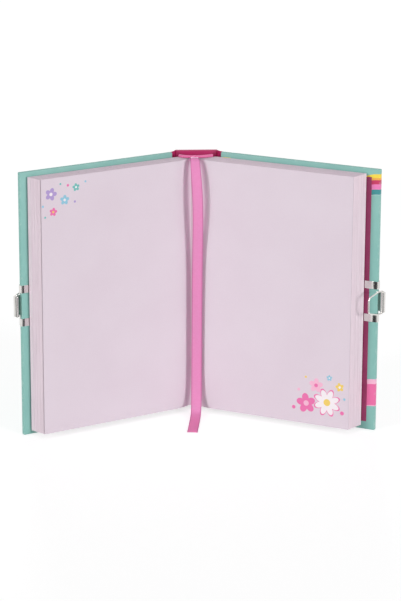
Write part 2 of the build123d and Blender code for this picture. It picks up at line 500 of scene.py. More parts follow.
@dataclass(frozen=True)
class TintedPaper(Finish):
    """Strong paper of one tint, with grain and a slight shift of colour."""

    colour: Colour
    shade: Colour
    roughness: float
    coat: float
    mottle_scale: float = 90.0
    fibre_scale: float = 1900.0
    fibre_stretch: tuple[float, float, float] = (1.0, 1.0, 0.35)
    fibre_depth: float = 0.04 * MM

    def paint(self, graph: Graph) -> None:
        """Adds the shift of colour and the paper's fibres."""
        mottle = graph.noise(graph.place(), self.mottle_scale, 4.0)
        fibre = graph.noise(graph.stretched(self.fibre_stretch), self.fibre_scale, 4.0)
        share = mottle * 0.6 + fibre * 0.4
        graph.feed(Base_Color=graph.mix(share.rise(0.3, 0.7), self.colour, self.shade))
        graph.feed(Roughness=self.roughness + fibre * 0.12, Coat_Weight=self.coat, Coat_Roughness=0.25)
        graph.relief(fibre, self.fibre_depth, 0.6)


class PagePrint(Enum):
    """The generic print of an open page."""

    SPRAY = "small flowers and dots near the head"
    POSY = "a group of flowers near the tail"


LILAC = ink(183, 160, 214)
SKY = ink(150, 203, 226)
MINT = ink(120, 196, 192)
ROSE = ink(240, 120, 178)
BLUSH = ink(250, 190, 216)
CREAM = ink(252, 244, 248)
SUN = ink(248, 214, 110)

FLOWERS = {
    PagePrint.SPRAY: (
        Blossom(106.0 * MM, 163.5 * MM, 4.3 * MM, LILAC, CREAM),
        Blossom(96.0 * MM, 158.5 * MM, 3.4 * MM, SKY, CREAM, 5, 0.6),
        Blossom(104.5 * MM, 151.5 * MM, 2.9 * MM, ROSE, SUN, 5, 0.3),
        Blossom(87.5 * MM, 166.0 * MM, 2.7 * MM, MINT, CREAM, 5, 1.1),
    ),
    PagePrint.POSY: (
        Blossom(97.5 * MM, 17.0 * MM, 9.0 * MM, CREAM, SUN, 8),
        Blossom(82.5 * MM, 14.5 * MM, 7.0 * MM, ROSE, BLUSH, 5, 0.4),
        Blossom(89.5 * MM, 28.0 * MM, 5.0 * MM, BLUSH, ROSE, 5, 0.9),
        Blossom(106.5 * MM, 29.0 * MM, 3.1 * MM, SUN, CREAM, 5, 0.2),
        Blossom(99.0 * MM, 34.5 * MM, 2.1 * MM, SKY, CREAM, 5, 0.7),
    ),
}
SPECKS = {
    PagePrint.SPRAY: (
        Speck(112.0 * MM, 156.0 * MM, 0.8 * MM, SKY),
        Speck(93.5 * MM, 168.0 * MM, 0.9 * MM, ROSE),
        Speck(88.5 * MM, 156.5 * MM, 0.8 * MM, LILAC),
        Speck(80.5 * MM, 169.0 * MM, 0.7 * MM, SKY),
        Speck(99.0 * MM, 169.5 * MM, 0.7 * MM, MINT),
        Speck(110.5 * MM, 148.5 * MM, 0.7 * MM, MINT),
    ),
    PagePrint.POSY: (
        Speck(73.5 * MM, 10.5 * MM, 1.3 * MM, ROSE),
        Speck(77.0 * MM, 23.5 * MM, 1.0 * MM, BLUSH),
        Speck(108.5 * MM, 11.0 * MM, 1.4 * MM, ROSE),
        Speck(82.0 * MM, 33.0 * MM, 0.8 * MM, SUN),
        Speck(110.0 * MM, 21.0 * MM, 0.9 * MM, SKY),
    ),
}


@dataclass(frozen=True)
class PagePaper(Finish):
    """Pale pink writing paper with a generic print."""

    design: PagePrint
    colour: Colour = ink(231, 218, 228)
    shade: Colour = ink(226, 211, 222)
    cloud_scale: float = 25.0
    fibre_scale: float = 2400.0
    fibre_depth: float = 0.03 * MM
    soft: float = 0.12 * MM
    outline: float = 1.12

    def paint(self, graph: Graph) -> None:
        """Adds the paper's clouds and fibres and prints its flowers and dots."""
        cloud = graph.noise(graph.place(), self.cloud_scale)
        fibre = graph.noise(graph.place(), self.fibre_scale, 4.0)
        share = cloud * 0.5 + fibre * 0.5
        colour = graph.mix(share.rise(0.3, 0.75), self.colour, self.shade)
        chart = graph.surface()
        for flower in FLOWERS[self.design]:
            if flower.petal == CREAM:
                rim = replace(flower, radius=flower.radius * self.outline, petal=ROSE, heart=ROSE)
                colour = graph.blossom(colour, chart, rim, self.soft)
            colour = graph.blossom(colour, chart, flower, self.soft)
        for dot in SPECKS[self.design]:
            colour = graph.speck(colour, chart, dot, self.soft)
        graph.feed(Base_Color=colour, Roughness=0.62 + fibre * 0.2, Specular_IOR_Level=0.35)
        graph.relief(fibre, self.fibre_depth, 0.5)


@dataclass(frozen=True)
class LeafEdges(Finish):
    """The paper of the closed leaves, which shows at their cut edges, with painted shade on the head
    edges.
    """

    colour: Colour = ink(250, 236, 244)
    shade: Colour = ink(241, 225, 234)
    # Painted shade: the head edges are coloured darker, as if less light fell on them from above.
    dust: Colour = ink(208, 192, 204)
    head: float = 176.7 * MM
    dust_depth: float = 0.15 * MM
    streak_scale: float = 160.0
    streak_stretch: tuple[float, float, float] = (9.0, 9.0, 0.2)
    fibre_scale: float = 2400.0
    fibre_depth: float = 0.05 * MM

    def paint(self, graph: Graph) -> None:
        """Adds streaks along the sheets, fibres and painted shade on the head edges."""
        streak = graph.noise(graph.stretched(self.streak_stretch), self.streak_scale, 4.0)
        fibre = graph.noise(graph.place(), self.fibre_scale)
        share = streak * 0.75 + fibre * 0.25
        paper = graph.mix(share.rise(0.35, 0.68), self.colour, self.shade)
        # Painted shade on the head edges, a little stronger where the streaks are.
        shaded_head = graph.axes()[2].rise(self.head, self.head + self.dust_depth) * (0.45 + streak * 0.2)
        graph.feed(Base_Color=graph.mix(shaded_head, paper, self.dust))
        graph.feed(Roughness=0.7 + fibre * 0.2, Specular_IOR_Level=0.3)
        graph.relief(fibre, self.fibre_depth, 0.6)


@dataclass(frozen=True)
class SatinRibbon(Finish):
    """Pink satin with a woven edge along both sides, through which some light passes, and painted shade
    on the tail that lies on the table.
    """

    width: float
    colour: Colour = ink(255, 173, 223)
    shade: Colour = ink(252, 165, 217)
    edge: Colour = ink(216, 118, 176)
    edge_span: tuple[float, float] = (0.45 * MM, 0.75 * MM)
    # Painted shade for the tail that lies on the table, and the stretch along the ribbon over which it
    # comes in.
    fresh: Colour = ink(255, 148, 206)
    fresh_span: tuple[float, float] = (184.0 * MM, 200.0 * MM)
    weft_pitch: float = 0.28 * MM
    warp_pitch: float = 0.22 * MM
    weave_depth: float = 0.03 * MM
    slub_scale: float = 700.0
    sheer: float = 0.42
    bending: float = 1.3

    def paint(self, graph: Graph) -> None:
        """Adds the weave, its uneven threads, the woven edges and painted shade on the tail that lies
        on the table.
        """
        across, along = graph.surface()
        weft = along.ripple(self.weft_pitch)
        warp = across.ripple(self.warp_pitch)
        slub = graph.noise(graph.place(), self.slub_scale)
        ground = graph.mix((slub + weft * 0.12).rise(0.35, 0.7), self.colour, self.shade)
        # Painted shade: the last stretch of the ribbon, which lies flat on the table, is coloured a
        # deeper pink to stand in for how the light falls on it.
        ground = graph.mix(along.rise(*self.fresh_span) * 0.8, ground, self.fresh)
        woven = 1 - (self.width / 2 - abs(across)).rise(*self.edge_span)
        graph.feed(Base_Color=graph.mix(woven * 0.8, ground, self.edge))
        graph.feed(Roughness=0.34 + slub * 0.1 + woven * 0.15, Sheen_Weight=0.1, Sheen_Roughness=0.35)
        graph.feed(Transmission_Weight=self.sheer, IOR=self.bending)
        graph.relief(weft * 0.5 + warp * 0.3 + woven * 0.8, self.weave_depth, 0.6)


@dataclass(frozen=True)
class BandThread(Finish):
    """Two tones of thread wound slantwise round a band."""

    colour: Colour = ink(246, 142, 190)
    shade: Colour = ink(226, 84, 150)
    pitch: float = 0.9 * MM
    slant: float = 0.45
    thread_depth: float = 0.08 * MM
    fuzz_scale: float = 3000.0

    def paint(self, graph: Graph) -> None:
        """Adds the wound threads and their fuzz."""
        across, up = graph.surface()
        thread = (across + up * self.slant).ripple(self.pitch) * 0.5 + 0.5
        fuzz = graph.noise(graph.place(), self.fuzz_scale)
        graph.feed(Base_Color=graph.mix((thread + fuzz * 0.3).rise(0.3, 0.9), self.shade, self.colour))
        graph.feed(Roughness=0.7 + fuzz * 0.15, Sheen_Weight=0.3, Sheen_Roughness=0.4)
        graph.relief(thread * 0.8 + fuzz * 0.2, self.thread_depth, 0.8)


@dataclass(frozen=True)
class Mull(Finish):
    """Open-weave lining cloth, stiff with glue."""

    colour: Colour = ink(240, 228, 232)
    shade: Colour = ink(216, 196, 206)
    pitch: float = 0.7 * MM
    weave_depth: float = 0.1 * MM
    glue_scale: float = 150.0

    def paint(self, graph: Graph) -> None:
        """Adds the open weave and the glue in it."""
        across, up = (part.ripple(self.pitch) * 0.5 + 0.5 for part in graph.surface())
        weave = across.most(up)
        glue = graph.noise(graph.place(), self.glue_scale, 4.0)
        graph.feed(Base_Color=graph.mix(weave * 0.7 + glue * 0.3, self.shade, self.colour))
        graph.feed(Roughness=0.75 + glue * 0.15)
        graph.relief(weave, self.weave_depth, 0.7)


@dataclass(frozen=True)
class Greyboard(Finish):
    """Pressed grey board inside the covers."""

    colour: Colour = ink(176, 170, 160)
    shade: Colour = ink(148, 142, 134)
    fibre_scale: float = 900.0
    fibre_depth: float = 0.08 * MM

    def paint(self, graph: Graph) -> None:
        """Adds the pressed fibres."""
        fibre = graph.noise(graph.place(), self.fibre_scale, 6.0)
        graph.feed(Base_Color=graph.mix(fibre.rise(0.3, 0.7), self.colour, self.shade))
        graph.feed(Roughness=0.8 + fibre * 0.15)
        graph.relief(fibre, self.fibre_depth, 0.7)


@dataclass(frozen=True)
class NickelPlate(Finish):
    """Bright nickel plating with faint handling marks.

    With a plan of the case it has a dish where a strip is bent round a cover.
    """

    plan: "CasePlan | None" = None
    colour: Colour = ink(226, 224, 221)
    shade: Colour = ink(217, 215, 212)
    cloud_scale: float = 220.0
    drawn_scale: float = 700.0
    drawn_stretch: tuple[float, float, float] = (1.0, 1.0, 12.0)
    drawn_depth: float = 0.006 * MM
    dish: float = 0.56 * MM
    dish_span: tuple[float, float] = (-9.0 * MM, -1.0 * MM)

    def paint(self, graph: Graph) -> None:
        """Adds handling marks, drawing lines and the dish."""
        cloud = graph.noise(graph.place(), self.cloud_scale)
        drawn = graph.noise(graph.stretched(self.drawn_stretch), self.drawn_scale, 4.0)
        graph.feed(Base_Color=graph.mix(cloud.rise(0.35, 0.7), self.colour, self.shade), Metallic=1.0)
        graph.feed(Roughness=0.05 + drawn * 0.04 + cloud * 0.03)
        if self.plan is None:
            graph.relief(drawn, self.drawn_depth, 0.4)
        else:
            graph.relief(self.bent(graph, self.plan) + drawn * 0.004, self.dish)

    def bent(self, graph: Graph, plan: "CasePlan") -> Value:
        """Height of the dish along a cover, from 0 at its inner end to 1 at the fore-edge."""
        across, depth, _ = graph.axes()
        hinge, out = plan.hinge(Side.BACK), plan.out(Side.BACK)
        reach = (abs(across) - hinge.x) * out.x + (depth - hinge.y) * out.y
        return reach.rise(plan.fore_edge + self.dish_span[0], plan.fore_edge + self.dish_span[1])


# The endpaper's magenta is partly its own colour and partly painted shade: it is set darker than the
# paper would look in full light, to match the shaded gap between the leaves and the cover where it
# mostly shows.
ENDPAPER = TintedPaper("endpaper", ink(168, 62, 110), ink(156, 52, 98), roughness=0.6, coat=0.0)
SPINE_PAPER = TintedPaper("spine paper", ink(190, 36, 102), ink(182, 31, 95), roughness=0.36, coat=0.18)
GREYBOARD = Greyboard("greyboard")
LEAF_EDGES = LeafEdges("leaf edges")
RING_NICKEL = NickelPlate("ring nickel")


def pick(piece: bpy.types.Object) -> None:
    """Makes one object the only one that is selected, and the active one."""
    bpy.ops.object.select_all(action="DESELECT")
    piece.select_set(True)
    bpy.context.view_layer.objects.active = piece


def edit(piece: bpy.types.Object, *steps: Callable[[], object]) -> None:
    """Runs edit-mode operators on the whole mesh of a piece.

    Args:
        piece: The mesh object.
        steps: The operators, called one after another with everything selected.
    """
    pick(piece)
    bpy.ops.object.mode_set(mode="EDIT")
    for step in steps:
        bpy.ops.mesh.select_all(action="SELECT")
        step()
    bpy.ops.object.mode_set(mode="OBJECT")


def merge_points() -> None:
    """Merges the points of the mesh in edit mode that lie on each other."""
    bpy.ops.mesh.remove_doubles(threshold=MERGE_DISTANCE)


def face_outwards() -> None:
    """Turns the faces of the mesh in edit mode outwards."""
    bpy.ops.mesh.normals_make_consistent(inside=False)


def apply_modifier(piece: bpy.types.Object, kind: str, **settings: object) -> None:
    """Adds a modifier to a piece and applies it.

    Args:
        piece: The mesh object.
        kind: Blender's name of the modifier type.
        settings: Properties of the modifier.
    """
    pick(piece)
    modifier = piece.modifiers.new(kind.title(), kind)
    for name, setting in settings.items():
        setattr(modifier, name, setting)
    bpy.ops.object.modifier_apply(modifier=modifier.name)


def smooth(piece: bpy.types.Object, angle: float = 35.0) -> None:
    """Shades a piece smooth, apart from edges sharper than an angle in degrees."""
    pick(piece)
    bpy.ops.object.shade_smooth_by_angle(angle=math.radians(angle))


def thicken(piece: bpy.types.Object, thickness: float, angle: float = 35.0) -> None:
    """Makes a closed and shaded wall of an open sheet.

    Args:
        piece: The open sheet, which stays in the middle of the wall.
        thickness: Thickness of the wall.
        angle: Degrees past which an edge stays sharp.
    """
    apply_modifier(piece, "SOLIDIFY", thickness=thickness, offset=0.0)
    edit(piece, face_outwards)
    smooth(piece, angle)


def running_lengths(points: Sequence[Vector]) -> list[float]:
    """Distances along a line of points, from its start to each of them."""
    lengths = [0.0]
    for before, after in zip(points, points[1:]):
        lengths.append(lengths[-1] + (after - before).length)
    return lengths


def just_added(name: str) -> bpy.types.Object:
    """Names the object that an operator has just added, and its mesh."""
    piece = bpy.context.object
    piece.name = name
    piece.data.name = name
    return piece


def formed_grid(
    name: str,
    counts: tuple[int, int],
    place: Callable[[float, float], Vector],
    chart: Callable[[float, float], tuple[float, float]],
) -> bpy.types.Object:
    """Adds a grid and forms it point by point.

    Args:
        name: Name of the piece.
        counts: Faces along the grid's first and second direction.
        place: Gives a point in the row frame for the two shares, from 0 to 1, along the grid.
        chart: Gives the UV map's coordinates in metres for the same shares.

    Returns:
        The formed grid, as an open sheet.
    """
    bpy.ops.object.select_all(action="DESELECT")
    bpy.ops.mesh.primitive_grid_add(x_subdivisions=counts[0], y_subdivisions=counts[1], size=1)
    piece = just_added(name)
    shares = [(point.co.x + 0.5, point.co.y + 0.5) for point in piece.data.vertices]
    layer = piece.data.uv_layers.active
    for loop in piece.data.loops:
        layer.data[loop.index].uv = chart(*shares[loop.vertex_index])
    for point, share in zip(piece.data.vertices, shares):
        point.co = place(*share)
    return piece


def rounded_box(
    name: str, low: Vector, high: Vector, rounding: float, steps: int, turn: Matrix
) -> bpy.types.Object:
    """Models a board-shaped piece with rounded edges.

    Args:
        name: Name of the piece.
        low: Lowest corner before the turn.
        high: Highest corner before the turn.
        rounding: Radius of the edges.
        steps: Faces round an edge.
        turn: Puts the piece in its place in the row frame.

    Returns:
        The piece, with a UV map of its X and Z before the turn.
    """
    bpy.ops.object.select_all(action="DESELECT")
    bpy.ops.mesh.primitive_cube_add(size=1, location=(low + high) / 2, scale=high - low)
    piece = just_added(name)
    bpy.ops.object.transform_apply(location=True, rotation=False, scale=True)
    edit(piece, lambda: bpy.ops.mesh.bevel(offset=rounding, segments=steps, profile=0.5))
    layer = piece.data.uv_layers.active
    for loop in piece.data.loops:
        corner = piece.data.vertices[loop.vertex_index].co
        layer.data[loop.index].uv = (corner.x, corner.z)
    piece.data.transform(turn)
    edit(piece, face_outwards)
    smooth(piece)
    return piece


def dress(piece: bpy.types.Object, finish: Finish) -> None:
    """Gives a piece one finish."""
    piece.data.materials.clear()
    piece.data.materials.append(finish.material())


def settle(piece: bpy.types.Object, body: str, slot: str, *nodes: str) -> None:
    """Lets a piece ride on a body in place of its CAD nodes.

    Args:
        piece: The finished piece.
        body: CAD body that it moves with.
        slot: Material slot of the record; not used.
        nodes: CAD nodes that the piece stands for.
    """
    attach(piece, body)
    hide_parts(*nodes)
    LOG.info("%s rides on %s for %s", piece.name, body, ", ".join(nodes))


def joint(name: str) -> dict:
    """The record's entry of a joint."""
    return next(entry for entry in frame["joints"] if entry["name"] == name)


@dataclass
class CasePlan:
    """Places of the case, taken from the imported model."""

    joint_gap: float = 2.0 * MM
    paper: float = 0.3 * MM
    height: float = field(init=False)
    half_cover: float = field(init=False)
    half_spine: float = field(init=False)
    fore_edge: float = field(init=False)

    def __post_init__(self) -> None:
        """Reads the case's sizes from the boxes of its CAD nodes."""
        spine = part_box("spine_wrap")[1]
        self.height = spine.z
        self.half_cover = spine.y
        self.half_spine = spine.x
        out = self.out(Side.BACK)
        outer_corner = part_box("back_wrap")[1].x
        self.fore_edge = (outer_corner - self.hinge(Side.BACK).x + out.y * self.half_cover) / out.x

    def hinge(self, side: Side) -> Vector:
        """Foot of a cover's hinge line."""
        place = joint(f"{side.word}_cover_hinge")["pos_m"]
        return Vector((place[0], place[1], 0.0))

    def out(self, side: Side) -> Vector:
        """Direction along a cover from the spine to its fore-edge."""
        return Vector(joint(f"{side.word}_leaves_slide")["axis"]).normalized()

    def outward(self, side: Side) -> Vector:
        """Direction that a cover's outer face looks in."""
        out = self.out(side)
        return Vector((-out.y * side.value, out.x * side.value, 0.0))

    def on_cover(self, side: Side) -> Matrix:
        """Turns (reach along the cover, depth outwards, height) into the row frame."""
        axes = Matrix((self.out(side), self.outward(side), UP)).transposed().to_4x4()
        return Matrix.Translation(self.hinge(side)) @ axes


@dataclass
class Cover:
    """A cover: its printed wrap with rounded edges and the endpaper pasted inside."""

    side: Side
    plan: CasePlan
    rounding: float = 0.65 * MM
    rounding_steps: int = 4
    turn_in: float = 5.6 * MM
    endpaper: float = 0.2 * MM
    endpaper_proud: float = 0.3

    def build(self) -> None:
        """Models the wrap and the pasted endpaper and dresses the board."""
        plan = self.plan
        word = self.side.word
        turn = plan.on_cover(self.side)
        low = Vector((plan.joint_gap - plan.paper, -plan.half_cover, 0.0))
        high = Vector((plan.fore_edge, plan.half_cover, plan.height))
        wrap = rounded_box(f"{word}_cover_wrap", low, high, self.rounding, self.rounding_steps, turn)
        design = CoverPrint.DOTS if self.side is Side.FRONT else CoverPrint.STRIPES
        dress(wrap, CoverPaper(f"{word} cover paper", design, plan.fore_edge, plan.height))
        settle(wrap, f"{word}_cover", "cover_print", f"{word}_wrap")

        reach = (plan.joint_gap + self.rounding, plan.fore_edge - plan.paper - self.turn_in)
        heights = (self.turn_in, plan.height - self.turn_in)
        depth = -plan.half_cover - self.endpaper * self.endpaper_proud

        def place(a: float, b: float) -> Vector:
            """A point of the endpaper on the cover's inner face."""
            along = reach[0] + (reach[1] - reach[0]) * a
            return turn @ Vector((along, depth, heights[0] + (heights[1] - heights[0]) * b))

        def chart(a: float, b: float) -> tuple[float, float]:
            """Distance along the cover and up."""
            return a * reach[1], b * heights[1]

        pasted = formed_grid(f"{word}_pasted_endpaper", (8, 12), place, chart)
        thicken(pasted, self.endpaper)
        dress(pasted, ENDPAPER)
        settle(pasted, f"{word}_cover", "endpaper", f"{word}_pastedown")
        dress(frame["nodes"][f"{word}_board"], GREYBOARD)


@dataclass
class Spine:
    """The spine's wrap and the two cloth joints between it and the covers, each a bent strip."""

    plan: CasePlan
    rounding: float = 0.65 * MM
    rounding_steps: int = 4
    cloth: float = 0.5 * MM
    cloth_depth: float = 0.45
    dip: float = 1.5 * MM
    counts: tuple[int, int] = (12, 20)

    def build(self) -> None:
        """Models the spine's wrap and both joints and dresses its board."""
        plan = self.plan
        side_face = plan.half_spine + plan.paper
        low = Vector((-side_face, -plan.half_cover, 0.0))
        high = Vector((side_face, plan.half_cover, plan.height))
        steps = self.rounding_steps
        wrap = rounded_box("spine_paper_wrap", low, high, self.rounding, steps, Matrix.Identity(4))
        dress(wrap, SPINE_PAPER)
        settle(wrap, "spine", "spine_print", "spine_wrap")
        dress(frame["nodes"]["spine_board"], GREYBOARD)
        for side in Side:
            self.build_joint(side)

    def build_joint(self, side: Side) -> None:
        """Models the groove between the spine and a cover as one bent strip.

        Args:
            side: The cover that the strip leads to.
        """
        plan = self.plan
        depth = self.cloth_depth * plan.half_cover
        start = Vector((side.value * plan.half_spine, depth, 0.0))
        end = plan.on_cover(side) @ Vector((plan.joint_gap, depth, 0.0))
        bend = (start + end) / 2 - plan.outward(side) * self.dip

        def place(a: float, b: float) -> Vector:
            """A point of the strip, across the groove and up."""
            point = start * (1 - a) ** 2 + bend * (2 * a * (1 - a)) + end * a**2
            return point + UP * (plan.height * b)

        width = (end - start).length
        name = f"{side.word}_joint_strip"
        strip = formed_grid(name, self.counts, place, lambda a, b: (a * width, b * plan.height))
        thicken(strip, self.cloth, 50.0)
        dress(strip, SPINE_PAPER)
        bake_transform(strip)
        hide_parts(f"{side.word}_joint_cloth")
        LOG.info("%s bends between the spine and its cover", strip.name)


@dataclass
class LeafPlan:
    """Lines of the leaves on one side of the opening, seen from above."""

    side: Side
    plan: CasePlan
    thickness: float
    slip: float
    gutter_x: float = -1.0 * MM
    cover_gap: float = 1.1 * MM
    gutter_dive: float = 3.3 * MM
    gutter_gap: float = 0.25 * MM
    spine_clearance: float = 5.0 * MM
    reach: float = 113.2 * MM
    fan: float = 3.8 * MM
    knee: float = 14.0 * MM
    least_sag: float = 0.02 * MM
    arc_steps: int = 10
    straight_steps: int = 8

    def __post_init__(self) -> None:
        """Finds where the open page would cross the middle."""
        self.out = self.plan.out(self.side)
        self.face = -self.plan.outward(self.side)
        hinge = self.plan.hinge(self.side)
        depth = self.thickness + self.cover_gap + self.plan.half_cover
        rise = (depth - self.face.x * (self.gutter_x - hinge.x)) / self.face.y
        self.crossing = Vector((self.gutter_x, hinge.y + rise, 0.0)) + self.out * self.slip

    def shape_back(self, gutter_y: float) -> None:
        """Sets the arched back edge of the leaves from the gutter's place."""
        self.gutter = Vector((self.crossing.x, gutter_y, 0.0))
        corner = self.crossing - self.face * self.thickness
        self.back_reach = (corner.y + self.plan.half_cover + self.spine_clearance) / -self.out.y
        corner = corner + self.out * self.back_reach
        across = abs(corner.x - self.gutter.x)
        behind = corner.y - gutter_y
        self.arch_radius = (across**2 + behind**2) / (2 * behind)
        self.arch_angle = math.atan2(across, self.arch_radius - behind)
        self.arch_centre = self.gutter + Vector((0.0, self.arch_radius, 0.0))

    def on_arch(self, share: float, offset: float) -> Vector:
        """A point on the arched back, or at an offset behind it.

        Args:
            share: 0 next to the cover, 1 at the gutter.
            offset: Distance behind the leaves.

        Returns:
            The point at the height of the floor.
        """
        turn = self.arch_angle * (1 - share)
        outward = Vector((self.side.value * math.sin(turn), -math.cos(turn), 0.0))
        return self.arch_centre + outward * (self.arch_radius - offset)

    def on_leaf(self, share: float, reach: float) -> Vector:
        """A point on the straight part of a leaf."""
        return self.crossing - self.face * (self.thickness * (1 - share)) + self.out * reach

    def line(self, share: float, extra: float = 0.0) -> list[Vector]:
        """Points along a leaf from its root round the knee to its fore-edge.

        Args:
            share: 0 for the leaf next to the cover, 1 for the open page.
            extra: How far the fore-edge stands out of line.

        Returns:
            The points, as many as the leaf's grid has columns plus one.
        """
        fore = self.on_leaf(share, self.reach + self.fan * (1 - share) + extra)
        knee = self.on_leaf(share, self.knee)
        root = self.on_arch(share, 0.0) + Vector((self.side.value * self.gutter_gap * share, 0.0, 0.0))
        chord = root - knee
        sag = chord.dot(self.face)
        points = []
        for step in range(self.arc_steps):
            part = 1 - step / self.arc_steps
            if abs(sag) < self.least_sag:
                points.append(knee + chord * part)
                continue
            radius = chord.length_squared / (2 * sag)
            sweep = 2 * math.atan2(sag, -chord.dot(self.out)) * part
            inwards = self.out * (radius * math.sin(sweep))
            points.append(knee - inwards + self.face * (radius * (1 - math.cos(sweep))))
        for step in range(self.straight_steps + 1):
            points.append(knee + (fore - knee) * (step / self.straight_steps))
        return points


@dataclass
class LeafHalf:
    """The leaves on one side: free endpaper, sewn signatures and the open page."""

    lines: LeafPlan
    signatures: tuple[int, ...]
    design: PagePrint
    foot: float = 3.0 * MM
    head: float = 177.0 * MM
    sheets: int = 14
    signature_gap: float = 0.1 * MM
    fill: float = 0.985
    edge_play: tuple[float, float] = (-0.1, 0.04)
    foot_play: tuple[float, float] = (0.0, 0.1)
    head_play: tuple[float, float] = (0.0, 0.14)
    open_leaf: float = 0.3 * MM
    open_gap: float = 0.15 * MM
    open_fill: float = 0.9
    open_rows: int = 24
    flyleaf: float = 0.25 * MM
    flyleaf_short: float = 1.2 * MM
    flyleaf_steps: int = 6
    lift: float = 0.0

    def build(self, chance: random.Random) -> None:
        """Models every leaf of this side.

        Args:
            chance: Source of the small differences between the sheets.
        """
        self.build_flyleaf()
        top = 1 - (self.open_leaf + self.open_gap) / self.lines.thickness
        pitch = top / len(self.signatures)
        for place, number in enumerate(self.signatures):
            self.build_signature(number, place * pitch, pitch, chance)
        self.build_open_leaf()

    def body(self) -> str:
        """The CAD body that these leaves ride on."""
        return f"{self.lines.side.word}_leaves"

    def sheet(
        self, name: str, points: list[Vector], heights: tuple[float, float], rows: int
    ) -> bpy.types.Object:
        """Models one sheet along a line of points.

        Args:
            name: Name of the piece.
            points: The sheet's line from its root to its fore-edge.
            heights: Foot and head of the sheet.
            rows: Faces between foot and head.

        Returns:
            The open sheet.
        """
        count = len(points) - 1
        lengths = running_lengths(points)
        start = lengths[-1] - self.lines.reach

        def place(a: float, b: float) -> Vector:
            """A point of the sheet."""
            return points[round(a * count)] + UP * (heights[0] + (heights[1] - heights[0]) * b)

        def chart(a: float, b: float) -> tuple[float, float]:
            """Distance from the opening's crossing and height above the foot."""
            return lengths[round(a * count)] - start, (heights[1] - heights[0]) * b

        return formed_grid(name, (count, rows), place, chart)

    def build_signature(self, number: int, low: float, pitch: float, chance: random.Random) -> None:
        """Models a signature as a bundle of sheets whose edges don't quite line up.

        Args:
            number: The signature's place in the whole book.
            low: Share of the stack at which it starts.
            pitch: Share of the stack that it takes up.
            chance: Source of the small differences between the sheets.
        """
        thickness = self.lines.thickness
        span = pitch - self.signature_gap / thickness
        leaves = []
        for sheet in range(self.sheets):
            share = low + span * (sheet + 0.5) / self.sheets
            points = self.lines.line(share, chance.uniform(*self.edge_play) * MM)
            foot = self.foot + chance.uniform(*self.foot_play) * MM
            head = self.head - chance.uniform(*self.head_play) * MM
            leaves.append(self.sheet(f"sewn_signature_{number}", points, (foot, head), 1))
        bundle = leaves[0]
        pick(bundle)
        for leaf in leaves[1:]:
            leaf.select_set(True)
        bpy.ops.object.join()
        thicken(bundle, span * thickness / self.sheets * self.fill)
        dress(bundle, LEAF_EDGES)
        settle(bundle, self.body(), "page", f"signature_{number}")

    def build_open_leaf(self) -> None:
        """Models the open page with its print and a slight swell."""
        word = self.lines.side.word
        share = 1 - self.open_leaf / self.lines.thickness / 2
        points = self.lines.line(share)
        for point in points:
            reach = max(0.0, (point - self.lines.crossing).dot(self.lines.out) / self.lines.reach)
            point += self.lines.face * (self.lift * reach**3)
        page = self.sheet(f"{word}_open_page", points, (self.foot, self.head), self.open_rows)
        thicken(page, self.open_leaf * self.open_fill)
        dress(page, PagePaper(f"{word} page paper", self.design))
        settle(page, self.body(), "page", f"{word}_open_leaf")

    def build_flyleaf(self) -> None:
        """Models the free endpaper next to the cover."""
        lines = self.lines
        word = lines.side.word
        behind = lines.face * -(self.signature_gap + self.flyleaf / 2)
        start = lines.on_leaf(0.0, lines.back_reach) + behind
        end = lines.on_leaf(0.0, lines.reach + lines.fan - self.flyleaf_short) + behind
        steps = self.flyleaf_steps
        points = [start + (end - start) * (step / steps) for step in range(steps + 1)]
        heights = (self.foot + self.flyleaf_short, self.head - self.flyleaf_short)
        leaf = self.sheet(f"{word}_free_endpaper", points, heights, steps)
        thicken(leaf, self.flyleaf)
        dress(leaf, ENDPAPER)
        settle(leaf, self.body(), "endpaper", f"{word}_flyleaf")


